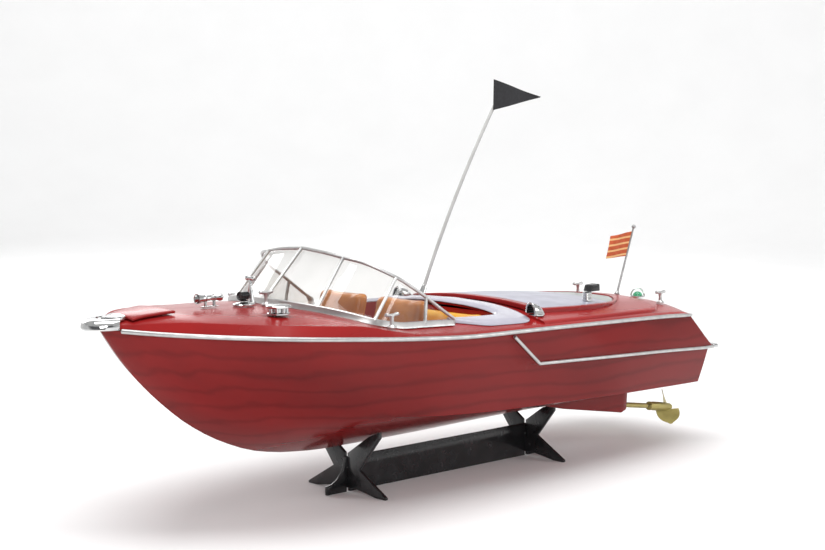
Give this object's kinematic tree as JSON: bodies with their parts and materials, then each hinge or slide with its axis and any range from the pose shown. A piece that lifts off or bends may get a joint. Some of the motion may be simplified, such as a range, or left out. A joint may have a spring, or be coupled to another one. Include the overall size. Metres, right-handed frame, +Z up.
{
  "type": "rc boat",
  "caption": "Radio controlled model of a classic mahogany runabout with open cockpit, wrap-round windscreen, twin screws and a slot-together display stand.",
  "frame": {"origin": "centre of the stand's footprint and the boat's length and beam, on the surface the stand rests on", "axes": "+X towards the bow, +Y to port, +Z up"},
  "size_m": [0.65, 0.2184, 0.336],
  "materials": {
    "mahogany": "gloss",
    "deck_red": "gloss",
    "chrome": "polished",
    "clear": "clear",
    "tan": "satin",
    "yellow": "satin",
    "white": "satin",
    "black": "gloss",
    "brass": "satin",
    "steel": "satin",
    "green": "gloss",
    "pennant_cloth": "matt",
    "ensign_cloth": "matt",
    "board": "matt",
    "battery": "matt"
  },
  "bodies": {
    "stand": {"stand_front_frame": "black", "stand_rear_frame": "black", "stand_spine": "black"},
    "boat": {"antenna_socket": "chrome", "battery_pack": "battery", "bow_cap": "chrome", "bow_light": "chrome", "bow_plank": "mahogany", "bow_plate": "chrome", "centre_cleat": "chrome", "cockpit_coaming": "white", "cockpit_tub": "deck_red", "dashboard": "deck_red", "deck_filler": "chrome", "deck_shell": "deck_red", "horn": "chrome", "hull_shell": "mahogany", "motor_mount": "black", "port_air_scoop": "chrome", "port_bow_cleat": "chrome", "port_motor": "steel", "port_rub_rail": "chrome", "port_seat": "tan", "port_side_moulding": "chrome", "port_stern_cleat": "chrome", "port_stern_tube": "brass", "power_switch_body": "black", "rear_bench": "yellow", "receiver_board": "board", "searchlight_base": "chrome", "starboard_air_scoop": "chrome", "starboard_bow_cleat": "chrome", "starboard_motor": "steel", "starboard_rub_rail": "chrome", "starboard_seat": "tan", "starboard_side_moulding": "chrome", "starboard_stern_cleat": "chrome", "starboard_stern_tube": "brass", "stern_light": "green", "stern_platform": "chrome", "windscreen_frame": "chrome", "windscreen_glass": "clear"},
    "hatch": {"engine_hatch": "deck_red", "sun_pad_front": "white", "sun_pad_aft": "white", "stern_lamp_base": "chrome", "stern_lamp_head": "black"},
    "antenna": {"antenna_tube": "white", "antenna_pennant": "pennant_cloth"},
    "ensign_staff": {"flagpole": "chrome", "ensign": "ensign_cloth"},
    "port_shaft": {"port_coupling": "black", "port_drive_shaft": "steel", "port_propeller": "brass"},
    "starboard_shaft": {"starboard_coupling": "black", "starboard_drive_shaft": "steel", "starboard_propeller": "brass"},
    "wheel": {"steering_wheel": "white"},
    "searchlight": {"searchlight_lamp": "black"},
    "switch": {"power_switch_slider": "white"}
  },
  "joints": [
    {"name": "boat_lift_off", "type": "slide", "parent": "stand", "child": "boat", "axis": [0, 0, 1], "range_m": [0, 0.25]},
    {"name": "hatch_lift_off", "type": "slide", "parent": "boat", "child": "hatch", "axis": [0, 0, 1], "range_m": [0, 0.12]},
    {"name": "antenna_pull_out", "type": "slide", "parent": "boat", "child": "antenna", "axis": [-0.4062, 0, 0.9138], "range_m": [0, 0.03]},
    {"name": "flagpole_pull_out", "type": "slide", "parent": "boat", "child": "ensign_staff", "axis": [-0.3552, 0, 0.9348], "range_m": [0, 0.03]},
    {"name": "port_screw_spin", "type": "hinge", "parent": "boat", "child": "port_shaft", "pos_m": [-0.23, 0.04, 0.0395], "axis": [0.9889, 0, 0.1483], "continuous": true},
    {"name": "starboard_screw_spin", "type": "hinge", "parent": "boat", "child": "starboard_shaft", "pos_m": [-0.23, -0.04, 0.0395], "axis": [0.9889, 0, 0.1483], "continuous": true},
    {"name": "steering_wheel_turn", "type": "hinge", "parent": "boat", "child": "wheel", "pos_m": [0.0945, 0.035, 0.137], "axis": [-0.9, 0, 0.436], "range_deg": [-90, 90]},
    {"name": "searchlight_swivel", "type": "hinge", "parent": "boat", "child": "searchlight", "pos_m": [0.187, 0.009, 0.17], "axis": [0, 0, 1], "range_deg": [-90, 90]},
    {"name": "power_switch", "type": "slide", "parent": "boat", "child": "switch", "axis": [0, 1, 0], "range_m": [0, 0.01]}
  ]
}
